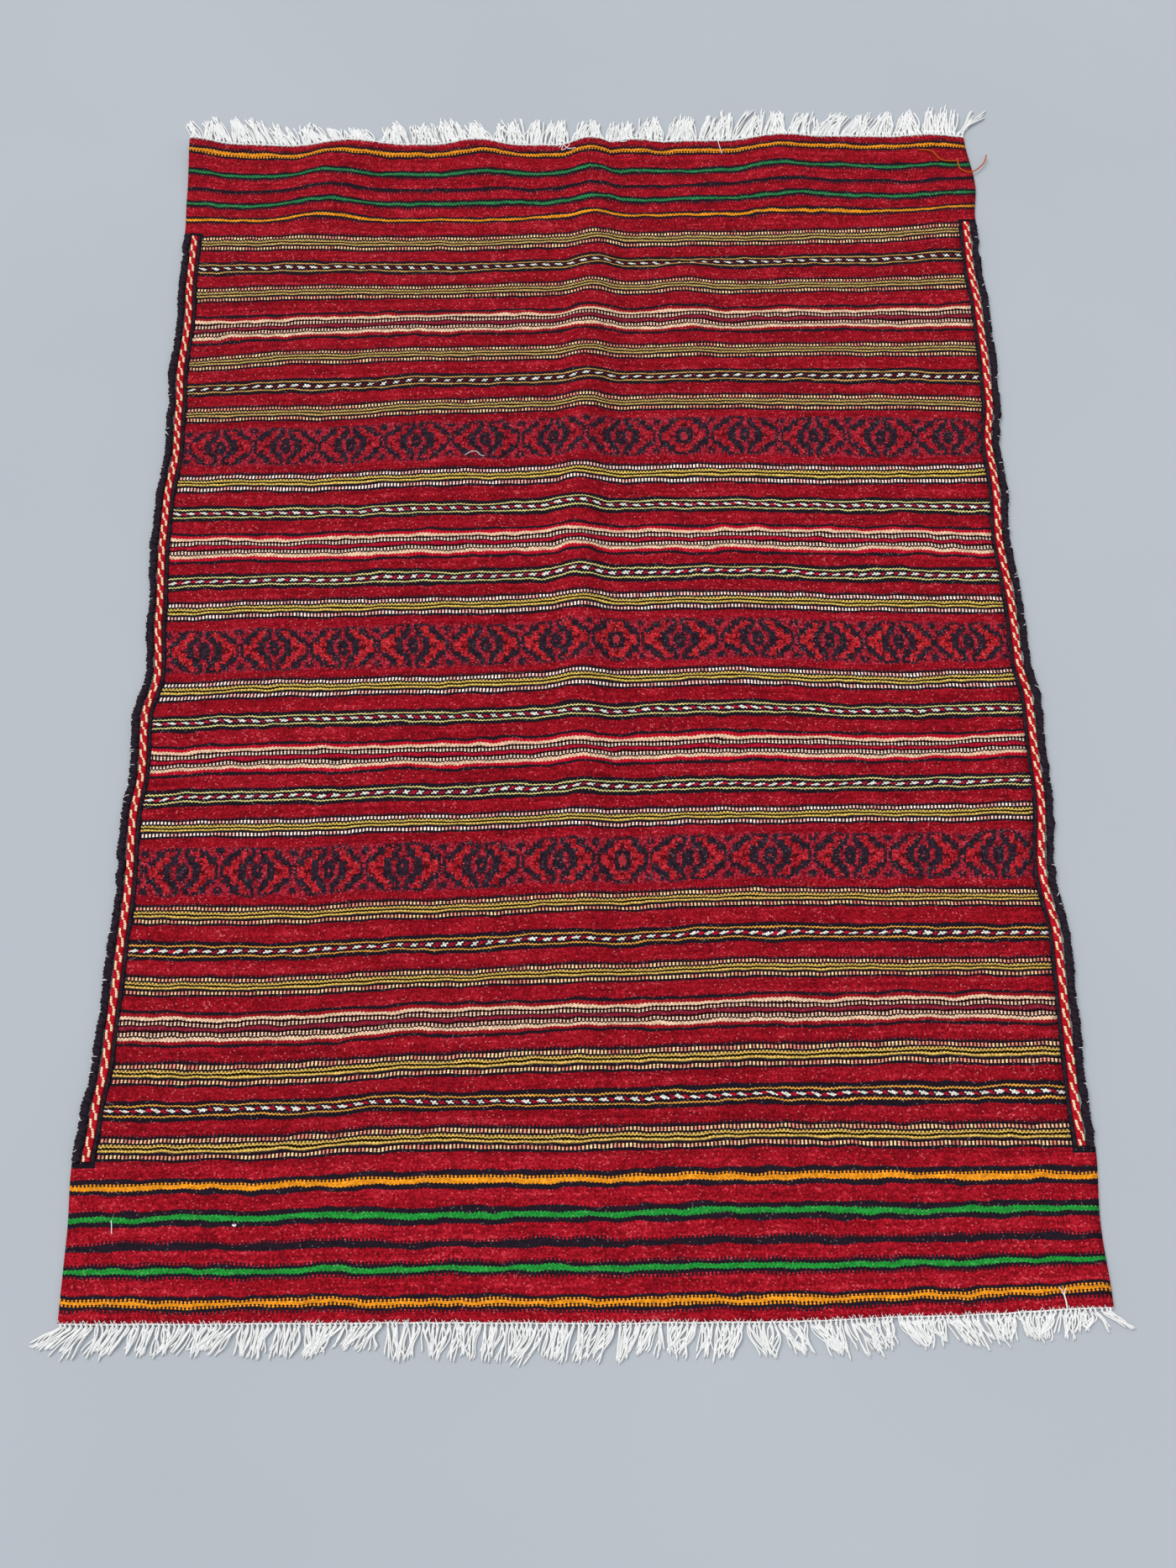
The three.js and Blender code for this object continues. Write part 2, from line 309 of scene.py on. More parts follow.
def read(table, column, at):
    """Value in one column of a table, at a place between its rows"""
    row, part = between(table[:, 0], at)
    return table[row, column] + (table[row + 1, column] - table[row, column]) * part


def push(s, t):
    """How far the weft at (s, t) is pushed along the rug"""
    c, a = between(lean_stations, s)
    r, b = between(lean_rows, t)
    lower = lean_table[r, c] + (lean_table[r, c + 1] - lean_table[r, c]) * a
    upper = lean_table[r + 1, c] + (lean_table[r + 1, c + 1] - lean_table[r + 1, c]) * a
    return lower + (upper - lower) * b


def ridge(distance, half_wide):
    """A rounded ridge: 1 on its line, 0 past its half width"""
    inside = np.abs(distance) < half_wide
    return np.where(inside, 0.5 + 0.5 * np.cos(np.pi * distance / half_wide), 0.0)


def lift(s, t):
    """Height of the cloth's underside over the floor"""
    height = read(fold, 2, t) * ridge(s - read(fold, 1, t), fold_half_width)
    for start_s, start_t, end_s, end_t, high, half_wide in ripples:
        part = (start_t - t) / (start_t - end_t)
        line = start_s + (end_s - start_s) * part
        here = (part >= 0) & (part < 1)
        ripple = high * (1 - ease(np.clip(part, 0, 1))) * ridge(s - line, half_wide)
        height = np.maximum(height, np.where(here, ripple, 0.0))
    return height


def laid(s, t, over=0.0):
    """Where the woven place (s, t) lies, in metres, at a height over the cloth's underside"""
    s = np.asarray(s, float)
    t = np.asarray(t, float)
    across = (s + half_width) / (2 * half_width)
    left_shift = -read(sides, 1, t)
    right_shift = read(sides, 2, t)
    x = s + left_shift + (right_shift - left_shift) * across
    y = t + push(s, t)
    return np.stack([x, y, lift(s, t) + over], axis=-1) * mm + rug_middle


def unevenness(x, y, seed):
    """Soft random swell from -1 to 1, one hump to each unit of x and y"""
    lattice = np.random.default_rng(seed).uniform(-1, 1, (64, 64))
    x0 = np.floor(x).astype(int)
    y0 = np.floor(y).astype(int)
    a = ease(x - x0)
    b = ease(y - y0)
    near = lattice[y0 % 64, x0 % 64] * (1 - a) + lattice[y0 % 64, (x0 + 1) % 64] * a
    far = lattice[(y0 + 1) % 64, x0 % 64] * (1 - a) + lattice[(y0 + 1) % 64, (x0 + 1) % 64] * a
    return near * (1 - b) + far * b


def new_piece(name, points, faces):
    """A piece of the rug from points and faces, riding on the rug's one body"""
    shape = bpy.data.meshes.new(name)
    shape.from_pydata([tuple(p) for p in np.asarray(points).reshape(-1, 3)], [], faces)
    shape.validate()
    shape.polygons.foreach_set("use_smooth", [True] * len(shape.polygons))
    piece = bpy.data.objects.new(name, shape)
    bpy.context.scene.collection.objects.link(piece)
    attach(piece, "root")
    return piece


def corners_of(piece):
    """Which point each corner of each face of a piece is"""
    corners = np.zeros(len(piece.data.loops), int)
    piece.data.loops.foreach_get("vertex_index", corners)
    return corners


def give_map(piece, name, x, y):
    """A named map on a piece, from two numbers at each corner of its faces"""
    piece.data.uv_layers.new(name=name).data.foreach_set("uv", np.stack([x, y], axis=1).ravel())


# Bands from the far end to the near one. centre and height are millimetres along the warps,
# kind says which pattern it carries, and slant turns its dashes the other way.
bands = [
    # centre, height, kind, slant
    (666, 34, "beads_far", 1), (622, 24, "candy_far", 1), (578, 31, "beads_far", 1),
    (520, 47, "dashes_dull", 1), (466, 30, "beads_far", 1), (423, 24, "candy_far", -1),
    (380, 32, "beads_far", 1), (323.5, 61, "medallions_far", 1), (262.5, 37, "beads_mid", 1),
    (212, 26, "candy_mid", 1), (157.5, 46, "dashes_bright", 1), (108.5, 26, "candy_mid", -1),
    (65, 34, "beads_mid", 1), (8.5, 57, "medallions_mid", 1), (-46.5, 33, "beads_mid", 1),
    (-92.5, 25, "candy_mid", 1), (-146, 45, "dashes_bright", 1), (-197.5, 25, "candy_mid", -1),
    (-240, 30, "beads_mid", 1), (-294.5, 57, "medallions_near", 1), (-347.5, 30, "beads_near", 1),
    (-392.5, 25, "candy_near", -1), (-437, 30, "beads_near", 1), (-489.5, 43, "dashes_dull", 1),
    (-543.5, 35, "beads_near", 1), (-589.5, 27, "candy_near", 1), (-635.5, 35, "beads_near", 1),
]

# The height at which each kind is counted out, before it is squeezed into its band
full_height = {"beads": 50.4, "candy": 30.4, "dashes": 46.2, "medallions": 62}
margin = 3

# Where one medallion ends and the next begins, along each of the three medallion bands
dividers = {
    "medallions_far": [-565, -472, -380, -287, -190, -88, 4, 108, 184, 285, 382, 481, 577],
    "medallions_mid": [-568, -472, -378, -286, -188, -90, 4, 72, 182, 285, 378, 474, 570],
    "medallions_near": [-562, -468, -373, -283, -184, -84, 12, 80, 184, 292, 388, 485, 577],
}
medallion_repeat = 96

# One medallion in each band is narrower. Its number is counted from the left
small_medallion_scale = 0.71
small_medallion = 6
small_medallion_far = 7

# Width of a warp column and height of a pick, in millimetres
warp_pitch = 2.3
pick_height = 1.05


def weave(finish):
    """Warp columns and weft picks of a finish, on lines that wander as the weaver beat them"""
    s, t = finish.place("woven")
    wander = (finish.noise(s / 46, t / 26, 3.0, 1.0) - 0.5) * 8.5
    wander = wander + (finish.noise(s / 17, t / 14, 7.0, 0.0) - 0.5) * 3.2
    wander = wander + (finish.noise(s / 85, t / 70, 13.0, 0.0) - 0.5) * 5.0
    up = (finish.place("band")[1] + wander) / pick_height
    across = s / warp_pitch + finish.noise(s / 90, t / 120) * 2.5
    across = across + (up * math.pi).cosine() * (across * math.pi).cosine() * 0.16
    column = across.floor()
    odd = column % 2
    pick = ((up - odd) / 2).round() * 2 + odd
    cell = finish.point(column, pick)
    chance = finish.node("ShaderNodeTexWhiteNoise", {"noise_dimensions": "2D"}, {"Vector": cell})
    side = across - column - 0.5
    rise = up - pick
    height = (1 - side * side * 4) * (1 - rise * rise * 0.8)
    streak = finish.noise(s / 26, pick * 0.73, 0.0, 1.0)
    return {
        "s": s, "t": t, "odd": odd, "rows_out": abs((pick + odd) / 2 - 0.5),
        "line": (pick + odd * 0.7 - 0.35) * pick_height,
        "column_s": (column + 0.5) * warp_pitch, "chance": chance, "side": side, "rise": rise,
        "height": height, "streak": streak,
    }


def madder_red(finish, w):
    """The red ground: uneven madder dye, in streaks along the wefts and cloudy patches"""
    abrash = finish.noise(w["s"] / 300, w["t"] / 6, 11.0, 2.0)
    patch = finish.noise(w["s"] / 42, w["t"] / 24, 5.0, 3.0)
    tone = abrash * 0.42 + patch * 0.38 + w["streak"] * 0.3 + w["chance"] * 0.16 - 0.13
    return finish.ramp(tone, [
        (0.28, dyed(112, 8, 20)),
        (0.44, dyed(150, 14, 30)),
        (0.58, dyed(178, 24, 40)),
        (0.74, dyed(205, 58, 72)),
    ])


finishes = {}


def finish_weave(finish, w, colour, specks):
    """Lays painted shade and painted highlights over the pattern, along with the yarn's random tone,
    and lets white warps peep out in places
    """
    worn = finish.step(finish.noise(w["s"] / 44, w["t"] / 26, 21.0, 3.0), 0.35, 0.75)
    bare = (w["chance"] > 0.99 - worn * 0.1) * (w["side"] > 0.05) * (abs(w["rise"]) < 0.6)
    colour = finish.mix(bare * 0.36 * specks, colour, dyed(240, 196, 190))
    # This noise stands for the wool's fibres: it roughens and bumps the surface, and in the colour it
    # makes painted highlights where fibres catch light
    fuzz_and_glints = finish.noise(w["s"] / 1.1, w["t"] / 0.9, 2.0, 2.0)
    # Painted shade and painted highlight, mixed with the yarn's real tone: darker at each float's
    # sides and between picks, lighter in fibre specks, and brighter or darker at random per float and
    # along weft streaks
    shade = (w["height"] * 0.5 + 0.58) * (w["chance"] * 0.56 + 0.72) * (fuzz_and_glints * 0.8 + 0.6)
    shade = shade * (w["streak"] * 0.24 + 0.88)
    colour = finish.brighten(colour, shade)
    roughness = fuzz_and_glints * 0.2 + 0.8
    bumps = w["height"] + fuzz_and_glints * 0.5
    finishes[finish.name] = finish.surface(colour, roughness, bumps, 0.0005)


def lanes(finish, w, reach, stops):
    """Colours in lanes from a band's middle outwards. stops give each lane's first row"""
    stops = [(start / reach, colour) for start, colour in stops]
    return finish.ramp(w["rows_out"] / reach, stops, stepped=True)


dark_brown = dyed(36, 26, 36)


def bead_band(name, olive, gold, bead_a, bead_b):
    """Rows from the middle out: one olive, two gold, two dark, three of upright beads, two dark.
    The outer gold row is dark in every other column"""
    finish = Finish(name, 0.95)
    w = weave(finish)
    rows_out = w["rows_out"]
    colour = lanes(finish, w, 12, [(0, olive), (1, gold), (3, dark_brown)])
    outer_gold = (rows_out > 2) * (rows_out < 3)
    colour = finish.mix(outer_gold * w["odd"] * 0.8, colour, dark_brown)
    in_beads = (rows_out > 5) * (rows_out < 8)
    some = finish.noise(w["column_s"] / 16, w["t"] / 70, 9.0, 1.0)
    bead = finish.mix(finish.step(some, 0.4, 0.6), bead_a, bead_b)
    dull = finish.step(finish.noise(w["column_s"] / 9, w["t"] / 50, 14.0, 1.0), 0.56, 0.7)
    bead = finish.brighten(finish.mix(dull * 0.5, bead, dyed(140, 50, 54)), 1.45)
    colour = finish.mix(in_beads, colour, finish.mix(w["odd"], dyed(52, 12, 20), bead))
    colour = finish.mix(rows_out + w["odd"] > 10.7, colour, madder_red(finish, w))
    colour = finish.mix(abs(w["s"]) > field_side - 1, colour, dark_brown)
    finish_weave(finish, w, colour, 0.8)


def candy_band(name, line, white, red, white_part, red_part):
    """Two rows of slanted white and red dashes between two thin lines, all on dark"""
    finish = Finish(name, 0.95)
    w = weave(finish)
    dash_repeat = 18.3
    slope = 1.3
    phase = ((w["column_s"] + w["line"] * slope) / dash_repeat) % 1
    dash = finish.mix(phase < white_part, dark_brown, white)
    red_start = white_part + 0.11
    dash = finish.mix((phase > red_start) * (phase < red_start + red_part), dash, red)
    colour = lanes(finish, w, 10, [(0, dark_brown), (3, line), (4, dark_brown)])
    colour = finish.mix(w["rows_out"] < 1, colour, dash)
    colour = finish.mix(w["rows_out"] > 7, colour, madder_red(finish, w))
    finish_weave(finish, w, colour, 0.8)


def dash_band(name, centre, dots, cream, red):
    """From its middle out: crimson, pale dots among black ones, cream, red and dark"""
    finish = Finish(name, 0.95)
    w = weave(finish)
    rows_out = w["rows_out"]
    black = dyed(38, 14, 18)
    colour = lanes(finish, w, 12, [
        (0, centre), (1, black), (5, cream), (7, red), (9, dark_brown),
    ])
    dot = (rows_out > 2) * (rows_out < 4) * w["odd"]
    colour = finish.mix(dot, colour, dots)
    colour = finish.mix(rows_out > 11, colour, madder_red(finish, w))
    finish_weave(finish, w, colour, 0.6)


# One quarter of each medallion as rectangles of yarn. a is counted across the rug from the
# medallion's middle and b along it, both in millimetres.
big_chart = {
    # part of the pattern: from a, to a, from b, to b
    "bright": [(31, 43.5, 0, 9), (22, 33.5, 0, 18), (13, 24, 12, 28)],
    "dull": [(22, 32, 0, 2.4)],
    "dark": [
        (42.8, 47.2, 0, 9.5), (33.2, 43.8, 8, 17), (30, 37.6, 14.2, 20.6), (22.2, 32.6, 17.8, 28.2),
        (2.6, 24, 27.8, 31.6), (13.4, 23.6, 0, 12.8), (8.6, 16.4, 8.8, 16.2), (5, 15, 12, 22.4),
        (2.4, 8, 19.4, 30), (0, 7.4, 0, 8.8), (0, 4.8, 6, 12.4), (45, 48.2, 20, 30),
        (42.4, 48.2, 22.4, 28.4),
    ],
    "middle": [(0, 1.4, 0, 1.6)],
}
small_chart = {
    # part of the pattern: from a, to a, from b, to b
    "bright": [(15.5, 28, 0, 9), (9.5, 20.5, 6, 18), (0, 12, 13.5, 28)],
    "dull": [(10, 19, 0, 2), (0, 3.2, 15, 21)],
    "dark": [
        (28.2, 33, 0, 9.5), (19.4, 30.4, 8, 18.8), (17, 23, 14, 21), (11.4, 21, 17.4, 28.6),
        (0, 13, 27.4, 31.8), (3, 11, 0, 11), (0, 8.8, 5, 13.8), (31.6, 34.6, 19, 30),
    ],
    "middle": [(0, 4.8, 0, 4.6), (0, 2.6, 0, 7.6)],
}


def charted(places, a, b):
    """1 where (a, b) is inside any of the rectangles, which meet over the medallion's middle"""
    past_middle = -3
    found = None
    for low_a, high_a, low_b, high_b in places:
        low_a = low_a or past_middle
        low_b = low_b or past_middle
        here = abs(a - (low_a + high_a) / 2) < (high_a - low_a) / 2
        here = here * (abs(b - (low_b + high_b) / 2) < (high_b - low_b) / 2)
        found = found.most(here) if found else here
    return found


def medallion_band(name, small, bright_low, bright_high):
    """Stepped eight-sided medallions in dark brown on two reds, side by side"""
    finish = Finish(name, 0.95)
    w = weave(finish)
    along = finish.place("band")[0] + w["column_s"] - w["s"]
    number = (along / medallion_repeat).floor()
    is_small = abs(number - small) < 0.5
    ragged = (w["chance"] - 0.5) * 2.4
    a = abs(along - (number + 0.5) * medallion_repeat) + ragged
    b = abs(w["line"] + w["odd"] * 1.6 - 0.8) - ragged
    small_a = a * small_medallion_scale
    parts = {}
    for part in big_chart:
        on_big = charted(big_chart[part], a, b) * (1 - is_small)
        parts[part] = on_big.most(charted(small_chart[part], small_a, b) * is_small)
    bright = finish.mix(w["chance"], bright_low, bright_high)
    crimson = finish.mix(w["chance"], dyed(128, 14, 30), dyed(190, 46, 64))
    navy = finish.mix(w["streak"] * 0.5 + w["chance"] * 0.5, dyed(22, 16, 28), dyed(66, 46, 58))
    colour = finish.mix(parts["bright"], crimson, bright)
    colour = finish.mix(parts["dull"], colour, dyed(84, 14, 24))
    colour = finish.mix(parts["dark"], colour, navy)
    colour = finish.mix(parts["middle"], colour, dyed(186, 50, 62))
    chart_height = 32.6
    colour = finish.mix(b > chart_height, colour, madder_red(finish, w))
    finish_weave(finish, w, colour, 0.5)


def end_panel(name, low, high, light, stripes):
    """Plain red with coloured stripes. Each stripe is dark, with a bright line inside it"""
    finish = Finish(name, 0.95)
    w = weave(finish)
    span = high - low
    off = (0, 0, 0, 1)
    on = (1, 1, 1, 1)
    stops = [(0, off)]
    marks = [(0, off)]
    for start, end, inner_start, inner_end, colour in stripes:
        stops += [((start - low) / span, dark_brown), ((inner_start - low) / span, colour)]
        stops += [((inner_end - low) / span, dark_brown)]
        marks += [((start - low) / span, on), ((end - low) / span, off)]
    toothed = w["line"] + w["odd"] - 0.5
    part = (toothed - low) / span
    colours = finish.ramp(part, stops, stepped=True)
    striped = finish.ramp(part, marks, stepped=True)
    faded = finish.step(finish.noise(w["s"] / 34, w["t"] / 5, 31.0, 2.0), 0.42, 0.72)
    colours = finish.mix(faded * 0.4, colours, finish.brighten(colours, 1.7))
    colour = finish.mix(striped, madder_red(finish, w), colours)

    # The dark cord is closed off by a few dark stitches past the edging's ends
    closing = (w["t"] > edging_near - 8) * (w["t"] < edging_far + 5)
    closing = closing * (abs(w["s"]) > field_side - 1)
    colour = finish.mix(closing, colour, dark_brown)
    finish_weave(finish, w, finish.brighten(colour, light), 0.6)


cream_bead = dyed(246, 212, 160)
pink_bead = dyed(226, 142, 122)
bead_band("beads_far", dyed(32, 22, 10), dyed(228, 190, 112), pink_bead, cream_bead)
deep_olive = dyed(34, 24, 4)
bead_band("beads_mid", deep_olive, dyed(252, 214, 104), dyed(255, 238, 226), dyed(240, 178, 166))
bead_band("beads_near", deep_olive, dyed(252, 208, 104), cream_bead, pink_bead)
snow = dyed(248, 246, 234)
candy_band("candy_far", dyed(224, 172, 92), snow, dyed(110, 18, 26), 0.44, 0.3)
candy_band("candy_mid", dyed(238, 226, 140), snow, dyed(196, 24, 52), 0.46, 0.32)
candy_band("candy_near", dyed(240, 172, 70), snow, dyed(190, 20, 44), 0.46, 0.32)
dull_cream = dyed(254, 214, 178)
warm_cream = dyed(255, 212, 176)
dash_band("dashes_dull", dyed(146, 34, 54), dyed(255, 212, 184), dull_cream, dyed(168, 24, 34))
dash_band("dashes_bright", dyed(186, 20, 48), dyed(255, 226, 204), warm_cream, dyed(206, 18, 42))
medallion_band("medallions_far", small_medallion_far, dyed(138, 12, 28), dyed(194, 42, 56))
medallion_band("medallions_mid", small_medallion, dyed(150, 12, 24), dyed(214, 50, 58))
medallion_band("medallions_near", small_medallion, dyed(144, 12, 26), dyed(206, 46, 56))
orange = dyed(240, 150, 30)
far_green = dyed(44, 130, 74)
near_green = dyed(36, 146, 56)
end_panel("far_panel", 680, 860, 1.04, [
    (705.0, 719.0, 709.8, 714.2, orange), (733.5, 748.0, 738.8, 743.2, far_green),
    (763.0, 771.0, 771.0, 771.0, dark_brown), (788.5, 803.0, 793.8, 798.2, far_green),
    (825.0, 841.5, 830.8, 835.4, orange),
])
end_panel("near_panel", -850, -650, 1.14, [
    (-828.5, -810.0, -822.2, -815.8, orange), (-790.5, -774.0, -784.6, -779.4, near_green),
    (-758.0, -749.0, -749.0, -749.0, dark_brown), (-731.0, -712.0, -724.0, -718.0, near_green),
    (-693.5, -671.5, -686.6, -679.4, orange),
])
plain = Finish("plain_red", 0.95)
plain_weave = weave(plain)
finish_weave(plain, plain_weave, madder_red(plain, plain_weave), 1.0)
finish_order = list(finishes)

# The cloth's grid has a row at each band's edge, and the bands stand a little proud of the red
hem_side = 586
cloth_columns = np.array([
    -half_width, -hem_side, *np.linspace(-field_side, field_side, 97), hem_side, half_width,
])
row_step = 5.2
cockle_height = 1.2
band_relief = 0.7
zones = []
for centre, height, kind, slant in bands:
    reach = height / 2 + margin
    zones.append((centre - reach, centre + reach, kind, centre, height, slant))
edges = {near_end, far_end, edging_near, edging_far}
edges = sorted(edges | {zone[0] for zone in zones} | {zone[1] for zone in zones})
cloth_rows = [near_end]
for start, end in zip(edges, edges[1:]):
    count = max(1, math.ceil((end - start) / row_step))
    cloth_rows += [start + (end - start) * (i + 1) / count for i in range(count)]
cloth_rows = np.array(cloth_rows)


def zone_at(t):
    for low, high, kind, centre, height, slant in zones:
        if low < t < high:
            return kind, centre, height, slant
    if t > zones[0][1]:
        return "far_panel", 0, 0, 1
    if t < zones[-1][0]:
        return "near_panel", 0, 0, 1
    return "plain_red", 0, 0, 1


grid_t, grid_s = np.meshgrid(cloth_rows, cloth_columns, indexing="ij")
cockle = 0.5 + 0.5 * unevenness(grid_s / 46, grid_t / 58, 4)
proud = np.zeros_like(grid_s)
for low, high, kind, centre, height, slant in zones:
    proud = np.maximum(proud, band_relief * ridge(grid_t - centre, height / 2 + 2) ** 0.6)
top = laid(grid_s, grid_t, cloth_thickness + cockle_height * cockle + proud)
under = laid(grid_s, grid_t, cockle_height * cockle * 0.5)
row_count, column_count = grid_s.shape
cloth_points = np.concatenate([top.reshape(-1, 3), under.reshape(-1, 3)])
below = row_count * column_count


def has_cloth(r, c):
    if not (0 <= r < row_count - 1 and 0 <= c < column_count - 1):
        return False
    in_edging = c < 2 or c >= column_count - 3
    return not (in_edging and cloth_rows[r] >= edging_near and cloth_rows[r + 1] <= edging_far)


cloth_faces = []
cloth_kinds = []
cloth_zones = []
for r in range(row_count - 1):
    zone = zone_at((cloth_rows[r] + cloth_rows[r + 1]) / 2)
    kind_number = finish_order.index(zone[0])
    for c in range(column_count - 1):
        if not has_cloth(r, c):
            continue
        a = r * column_count + c
        b = a + 1
        d = a + column_count
        e = d + 1
        found = [(a, b, e, d), (below + a, below + d, below + e, below + b)]
        if not has_cloth(r - 1, c):
            found.append((a, below + a, below + b, b))
        if not has_cloth(r + 1, c):
            found.append((e, below + e, below + d, d))
        if not has_cloth(r, c - 1):
            found.append((d, below + d, below + a, a))
        if not has_cloth(r, c + 1):
            found.append((b, below + b, below + e, e))
        cloth_faces += found
        cloth_kinds += [kind_number] * len(found)
        cloth_zones += [zone] * len(found)

cloth = new_piece("kilim_weave", cloth_points, cloth_faces)
for name in finish_order:
    cloth.data.materials.append(finishes[name])
cloth.data.polygons.foreach_set("material_index", cloth_kinds)
corner_points = corners_of(cloth) % below
corner_s = grid_s.ravel()[corner_points]
corner_t = grid_t.ravel()[corner_points]
give_map(cloth, "woven", corner_s, corner_t)
corner_u = corner_s.copy()
corner_v = corner_t.copy()

# The stripes of the far panel were beaten in unevenly, so they dip and rise across it
stripe_drift = np.array([
    # s, how far the far stripes stand from their straight line
    (-600, -1), (-500, -6), (-400, 3), (-300, -2), (-120, -2), (0, 0), (120, -1),
    (210, 0), (300, 5), (400, 1), (500, -3), (600, 0),
], float)
in_far_panel = ease(np.clip((corner_t - 686) / 40, 0, 1))
in_far_panel *= ease(np.clip((far_end - corner_t) / 60, 0, 1))
corner_v -= read(stripe_drift, 1, corner_s) * in_far_panel
for face, (kind, centre, height, slant) in zip(cloth.data.polygons, cloth_zones):
    if not height:
        continue
    family = kind.split("_")[0]
    for corner in face.loop_indices:
        corner_v[corner] = (corner_t[corner] - centre) * slant * full_height[family] / height
        if family == "medallions":
            ends = dividers[kind]
            numbers = medallion_repeat * np.arange(len(ends))
            reached = np.interp(corner_s[corner], ends, numbers)
            before = min(0.0, corner_s[corner] - ends[0])
            after = max(0.0, corner_s[corner] - ends[-1])
            corner_u[corner] = reached + before + after
give_map(cloth, "band", corner_u, corner_v)
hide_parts("kilim_cloth")

# The side edging: from the outside in, a cord overcast with dark goat hair, a band wrapped in
# red and cream wool by turns, and a flatter dark cord beside the cloth. All three are sewn
# over the outermost warps, so they follow the cloth's wavy sides.
cord_step = 0.92
cord_wrap = 4.4
wrap_lean = 0.42


def cord_finish(name):
    finish = Finish(name, 0.9)
    x, y = finish.place("wrap")
    hairs = finish.noise(x * 0.9, y * 3.2, 1.0, 3.0)
    turn = finish.noise(x * 0.1, y * 0.24, 5.0, 2.0)
    # Painted glints: bluish grey specks mixed into the dark goat hair as highlights
    painted_glint = finish.step(finish.noise(x * 1.7, y * 5.5, 9.0, 2.0), 0.6, 0.78)
    colour = finish.mix(finish.step(turn, 0.3, 0.7), dyed(26, 20, 28), dyed(50, 40, 50))
    colour = finish.mix(painted_glint * 0.5, colour, dyed(96, 88, 100))
    colour = finish.brighten(colour, hairs * 0.9 + 0.55)
    return finish.surface(colour, hairs * 0.25 + 0.7, hairs, 0.0006)


goat_hair = cord_finish("dark_goat_hair")


def along_edging(step):
    return np.arange(edging_near + 0.4, edging_far - 0.35, step)


def around_tube(rings, around):
    """For each face round a tube, its first point and the next one in the same ring"""
    return [
        (r * around + i, r * around + (i + 1) % around)
        for r in range(rings - 1) for i in range(around)
    ]


def wrapped_cord(name, node, side, inset, width, height, depth, wander, seed):
    """A round or flattened cord lying along one side, with its wraps raised by depth"""
    sides_round = 12
    along = along_edging(cord_step)
    turn = np.arange(sides_round) / sides_round * 2 * math.pi
    t, angle = np.meshgrid(along, turn, indexing="ij")
    uneven = unevenness(t / 13, t * 0, seed) * 0.5 + unevenness(t / 41, t * 0, seed + 1) * 0.5
    phase = t / cord_wrap + uneven * 1.1 + np.cos(angle) * side * wrap_lean
    wrap = np.abs(np.sin(math.pi * phase)) ** 0.55
    knobs = unevenness(t / 3.4 + np.cos(angle), t * 0, seed + 5)
    swell = 1 - depth + depth * wrap + depth * (0.4 * uneven + 0.5 * knobs)
    across = np.cos(angle) * side * width / 2 * swell
    centre = side * (half_width - inset - width / 2 + wander * unevenness(t / 15, t * 0, seed + 2))
    over = height / 2 + np.sin(angle) * height / 2 * swell
    over = np.maximum(over, 0.0)
    points = laid(centre + across, t, over)
    rows = len(along)
    faces = [(a, b, b + sides_round, a + sides_round) for a, b in around_tube(rows, sides_round)]
    faces.append(tuple(range(sides_round))[::-1])
    faces.append(tuple((rows - 1) * sides_round + i for i in range(sides_round)))
    if side < 0:
        faces = [face[::-1] for face in faces]
    piece = new_piece(name, points, faces)
    piece.data.materials.append(goat_hair)
    corners = corners_of(piece)
    around = (angle * width / 2).ravel()[corners]
    slanted = (t + np.cos(angle) * side * wrap_lean * cord_wrap).ravel()[corners]
    give_map(piece, "wrap", around, slanted)
    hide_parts(node)
    return piece


for side, word in ((-1, "left"), (1, "right")):
    wrapped_cord(
        f"overcast_cord_{word}", f"edge_cord_{word}", side,
        inset=-0.9, width=11.0, height=7.0, depth=0.34, wander=1.3, seed=30 + side,
    )
    wrapped_cord(
        f"inner_cord_{word}", f"edge_guard_{word}", side,
        inset=20.9, width=5.2, height=4.6, depth=0.2, wander=0.2, seed=40 + side,
    )

# The red and cream band of the edging: slanted stitches of two wools laid by turns, so that the
# cream climbs across the band and starts again. It is sewn between the two dark cords.
stitch_pitch = 2.75
colour_repeat = 21.4
braid_inset = 10.3
braid_width = 10.4
braid_height = 5.3
braid_slope = 0.3
braid_step = 0.62


def braid_finish():
    finish = Finish("braid_wool", 0.9)
    x, y = finish.place("wrap")
    turn = (y + x * braid_slope) / stitch_pitch
    stitch = turn.floor()
    chance = finish.node("ShaderNodeTexWhiteNoise", {"noise_dimensions": "1D"}, {"W": stitch})
    climb = (stitch * (stitch_pitch / colour_repeat)) % 1
    cream_middle = 7.9 - climb * 1.8 - finish.step(climb, 0.36, 0.64) * 4.0 + chance * 0.7
    cream_half_width = 1.35
    cream = abs(x - cream_middle) < cream_half_width
    hairs = finish.noise(x * 0.5 - y * 0.4, y * 3.0 + x * 2.4, 1.0, 3.0)
    red = finish.mix(chance, dyed(176, 14, 30), dyed(212, 28, 48))
    pale = finish.mix(chance, dyed(252, 226, 168), dyed(255, 240, 204))
    # Painted shade: each stitch darkens towards its two sides, drawing dark lines between the
    # stitches
    within = turn - stitch - 0.5
    painted_stitch_shade = 1.1 - within * within * 2.4
    colour = finish.brighten(finish.mix(cream, red, pale), (hairs * 0.5 + 0.75) * painted_stitch_shade)
    return finish.surface(colour, hairs * 0.2 + 0.75, hairs, 0.0004)


two_wools = braid_finish()


